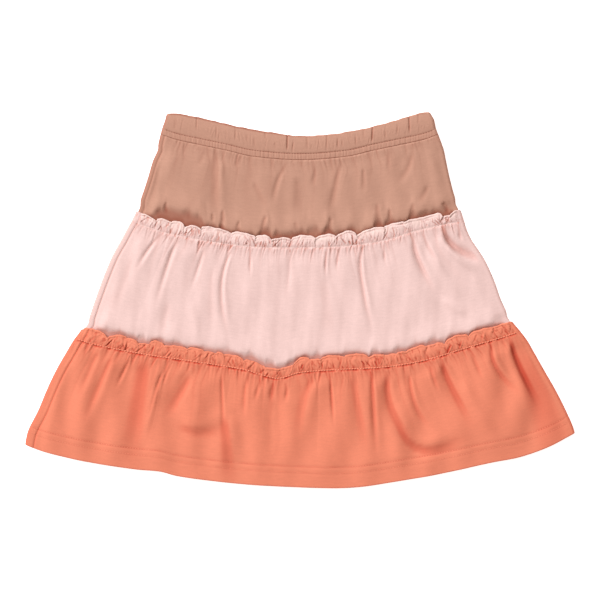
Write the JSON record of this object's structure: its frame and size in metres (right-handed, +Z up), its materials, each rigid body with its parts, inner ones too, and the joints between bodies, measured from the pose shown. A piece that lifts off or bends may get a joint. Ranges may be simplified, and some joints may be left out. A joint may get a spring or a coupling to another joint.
{
  "type": "tiered ruffle skirt",
  "caption": "Child's pull-on skirt laid flat: gathered elastic waist above stacked jersey tiers, each lower one standing up as a narrow ruffle at its seam, with a turned hem.",
  "frame": {"origin": "on the surface that the skirt lies on, under the middle of its outline", "axes": "+X across the skirt from its left fold to its right as seen from above, +Y from the hem to the waist, +Z up from the surface"},
  "size_m": [0.4938, 0.3378, 0.0093],
  "materials": {
    "tan_jersey": "matt cotton single jersey, tan",
    "pink_jersey": "matt cotton single jersey, pale pink",
    "coral_jersey": "matt cotton single jersey, coral"
  },
  "bodies": {
    "root": {"waistband": "tan_jersey", "top_tier_front": "tan_jersey", "top_tier_back": "tan_jersey", "middle_tier_front": "pink_jersey", "middle_tier_back": "pink_jersey", "bottom_tier_front": "coral_jersey", "bottom_tier_back": "coral_jersey"}
  },
  "joints": []
}
